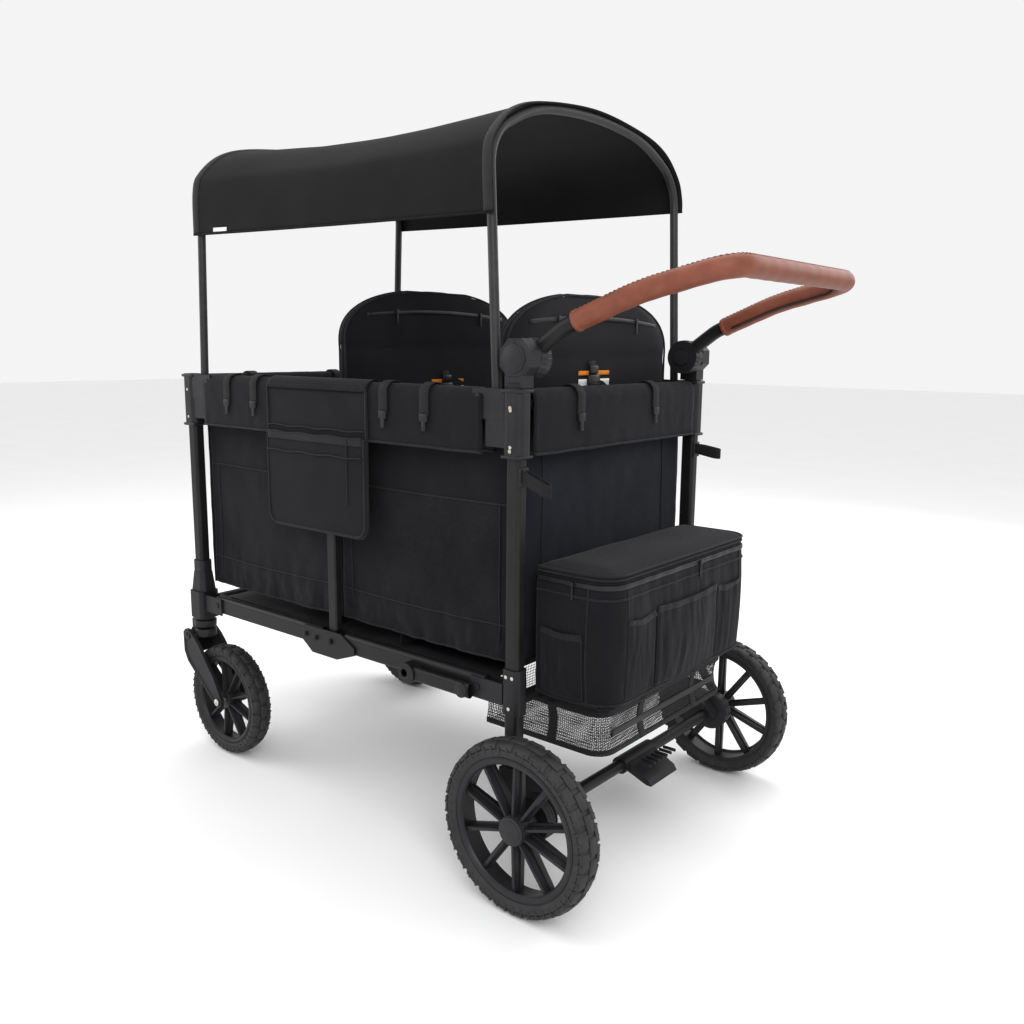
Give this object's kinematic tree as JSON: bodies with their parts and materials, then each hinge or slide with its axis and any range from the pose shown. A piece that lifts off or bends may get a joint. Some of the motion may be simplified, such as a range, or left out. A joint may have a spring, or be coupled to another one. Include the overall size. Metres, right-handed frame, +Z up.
{
  "type": "folding kids pull wagon",
  "caption": "Folding four-wheeled wagon for children with fabric tub, facing-forward seats, arched canopy, tilting push handle, front casters and rear storage bag.",
  "frame": {"origin": "on the floor, under the middle of the whole wagon's bounding box", "axes": "+X points to the push handle (rear), -X to the casters (front), -Y is the side with the pocket organizer, +Z is up"},
  "size_m": [1.285, 0.74, 1.3237],
  "materials": {
    "tyre_rubber": "matt, slight sheen on the tread blocks",
    "wheel_plastic": "satin moulded nylon",
    "leather": "stitched tan leather, soft gloss",
    "frame_paint": "fine satin powder coat",
    "bright_steel": "plated",
    "body_fabric": "woven polyester",
    "canopy_fabric": "smooth tight weave",
    "mesh": "open polyester mesh",
    "webbing": "ribbed webbing",
    "floor_board": "textured",
    "button_plastic": "semi gloss",
    "moulded_plastic": "fine spark texture"
  },
  "bodies": {
    "rear_frame": {"rear_posts": "frame_paint", "rear_collars": "moulded_plastic", "rear_sleeves": "moulded_plastic", "rear_cross_tubes": "frame_paint", "rear_axle": "frame_paint", "axle_brackets": "moulded_plastic", "brake_housings": "moulded_plastic", "hub_shells": "moulded_plastic", "rear_panel": "body_fabric", "storage_bag": "body_fabric", "mesh_basket": "mesh", "wrist_straps": "webbing", "rear_rivets": "bright_steel", "side_panels": "body_fabric", "rear_seat_base": "body_fabric"},
    "rear_wheel_near": {"rear_rim_near": "wheel_plastic", "rear_tyre_near": "tyre_rubber"},
    "rear_wheel_far": {"rear_rim_far": "wheel_plastic", "rear_tyre_far": "tyre_rubber"},
    "handle": {"handle_hubs": "moulded_plastic", "handle_tube": "frame_paint", "handle_grip": "leather"},
    "button_near": {"handle_button_near": "button_plastic"},
    "button_far": {"handle_button_far": "button_plastic"},
    "brake": {"brake_pedal": "moulded_plastic"},
    "lid": {"bag_lid": "body_fabric"},
    "low_rear": {"low_rear_rails": "frame_paint", "brace_tubes": "frame_paint", "floor_rear": "floor_board"},
    "low_front": {"low_front_rails": "frame_paint", "hinge_plates": "frame_paint", "floor_front": "floor_board"},
    "front_frame": {"front_posts": "frame_paint", "front_collars": "moulded_plastic", "front_sleeves": "moulded_plastic", "caster_housings": "moulded_plastic", "front_cross_tubes": "frame_paint", "front_panel": "body_fabric", "front_seat_base": "body_fabric"},
    "top_rear": {"top_rear_rails": "frame_paint"},
    "top_front": {"top_front_rails": "frame_paint", "side_rolls": "body_fabric"},
    "middle": {"mid_uprights": "frame_paint", "pocket_organizer": "body_fabric"},
    "caster_near": {"caster_crown_near": "moulded_plastic"},
    "caster_far": {"caster_crown_far": "moulded_plastic"},
    "fork_near": {"swing_fork_near": "moulded_plastic", "front_axle_near": "bright_steel"},
    "fork_far": {"swing_fork_far": "moulded_plastic", "front_axle_far": "bright_steel"},
    "front_wheel_near": {"front_rim_near": "wheel_plastic", "front_tyre_near": "tyre_rubber"},
    "front_wheel_far": {"front_rim_far": "wheel_plastic", "front_tyre_far": "tyre_rubber"},
    "rear_canopy": {"rear_hoop": "frame_paint", "canopy_cloth": "canopy_fabric"},
    "front_canopy": {"front_hoop": "frame_paint"},
    "front_back": {"front_seat_back": "body_fabric"},
    "rear_back": {"rear_seat_back": "body_fabric"}
  },
  "joints": [
    {"name": "fold", "type": "hinge", "parent": "rear_frame", "child": "low_rear", "pos_m": [0.224, 0, 0.334], "axis": [0, 1, 0], "range_deg": [0, 60], "deforming": ["side_panels", "side_rolls", "front_seat_base", "rear_seat_base", "canopy_cloth"]},
    {"name": "fold_low_front", "type": "hinge", "parent": "low_rear", "child": "low_front", "pos_m": [-0.156, 0, 0.334], "axis": [0, 1, 0], "range_deg": [-120, 0]},
    {"name": "fold_front_frame", "type": "hinge", "parent": "low_front", "child": "front_frame", "pos_m": [-0.536, 0, 0.334], "axis": [0, 1, 0], "range_deg": [0, 60]},
    {"name": "fold_top_rear", "type": "hinge", "parent": "rear_frame", "child": "top_rear", "pos_m": [0.224, 0, 0.823], "axis": [0, 1, 0], "range_deg": [0, 60]},
    {"name": "fold_top_front", "type": "hinge", "parent": "top_rear", "child": "top_front", "pos_m": [-0.156, 0, 0.823], "axis": [0, 1, 0], "range_deg": [-120, 0]},
    {"name": "fold_middle", "type": "hinge", "parent": "low_rear", "child": "middle", "pos_m": [-0.156, 0, 0.334], "axis": [0, 1, 0], "range_deg": [-60, 0]},
    {"name": "rear_wheel_spin_near", "type": "hinge", "parent": "rear_frame", "child": "rear_wheel_near", "pos_m": [0.359, -0.345, 0.146], "axis": [0, 1, 0], "continuous": true},
    {"name": "rear_wheel_spin_far", "type": "hinge", "parent": "rear_frame", "child": "rear_wheel_far", "pos_m": [0.359, 0.345, 0.146], "axis": [0, 1, 0], "continuous": true},
    {"name": "handle_tilt", "type": "hinge", "parent": "rear_frame", "child": "handle", "pos_m": [0.294, 0, 0.883], "axis": [0, 1, 0], "range_deg": [-55, 60]},
    {"name": "button_press_near", "type": "slide", "parent": "handle", "child": "button_near", "axis": [0, -1, 0], "range_m": [0, 0.0025], "stiffness_N_per_m": 600, "springref_m": -0.003},
    {"name": "button_press_far", "type": "slide", "parent": "handle", "child": "button_far", "axis": [0, 1, 0], "range_m": [0, 0.0025], "stiffness_N_per_m": 600, "springref_m": -0.003},
    {"name": "brake_press", "type": "hinge", "parent": "rear_frame", "child": "brake", "pos_m": [0.359, 0, 0.146], "axis": [0, 1, 0], "range_deg": [0, 22]},
    {"name": "bag_lid_open", "type": "hinge", "parent": "rear_frame", "child": "lid", "pos_m": [0.3053, 0, 0.5383], "axis": [0, -1, 0], "range_deg": [0, 85]},
    {"name": "caster_swivel_near", "type": "hinge", "parent": "front_frame", "child": "caster_near", "pos_m": [-0.606, -0.2805, 0.294], "axis": [0, 0, 1], "continuous": true},
    {"name": "suspension_near", "type": "hinge", "parent": "caster_near", "child": "fork_near", "pos_m": [-0.63, -0.2805, 0.256], "axis": [0, -1, 0], "range_deg": [0, 8], "stiffness_Nm_per_rad": 120, "springref_deg": -6.88},
    {"name": "front_wheel_spin_near", "type": "hinge", "parent": "fork_near", "child": "front_wheel_near", "pos_m": [-0.52, -0.2805, 0.122], "axis": [0, 1, 0], "continuous": true},
    {"name": "caster_swivel_far", "type": "hinge", "parent": "front_frame", "child": "caster_far", "pos_m": [-0.606, 0.2805, 0.294], "axis": [0, 0, 1], "continuous": true},
    {"name": "suspension_far", "type": "hinge", "parent": "caster_far", "child": "fork_far", "pos_m": [-0.63, 0.2805, 0.256], "axis": [0, -1, 0], "range_deg": [0, 8], "stiffness_Nm_per_rad": 120, "springref_deg": -6.88},
    {"name": "front_wheel_spin_far", "type": "hinge", "parent": "fork_far", "child": "front_wheel_far", "pos_m": [-0.52, 0.2805, 0.122], "axis": [0, 1, 0], "continuous": true},
    {"name": "canopy_height", "type": "slide", "parent": "rear_frame", "child": "rear_canopy", "axis": [-0.0436, 0, 0.999], "range_m": [-0.12, 0]},
    {"name": "canopy_height_front", "type": "slide", "parent": "front_frame", "child": "front_canopy", "axis": [0.0436, 0, 0.999], "range_m": [-0.12, 0]},
    {"name": "front_seat_back_fold", "type": "hinge", "parent": "middle", "child": "front_back", "pos_m": [-0.156, 0, 0.62], "axis": [0, -1, 0], "range_deg": [0, 80]},
    {"name": "rear_seat_back_fold", "type": "hinge", "parent": "rear_frame", "child": "rear_back", "pos_m": [0.237, 0, 0.62], "axis": [0, -1, 0], "range_deg": [0, 65]}
  ],
  "couplings": [
    {"joint": "fold_low_front", "follows": "fold", "ratio": -2},
    {"joint": "fold_front_frame", "follows": "fold", "ratio": 1},
    {"joint": "fold_top_rear", "follows": "fold", "ratio": 1},
    {"joint": "fold_top_front", "follows": "fold", "ratio": -2},
    {"joint": "fold_middle", "follows": "fold", "ratio": -1},
    {"joint": "canopy_height_front", "follows": "canopy_height", "ratio": 1}
  ]
}
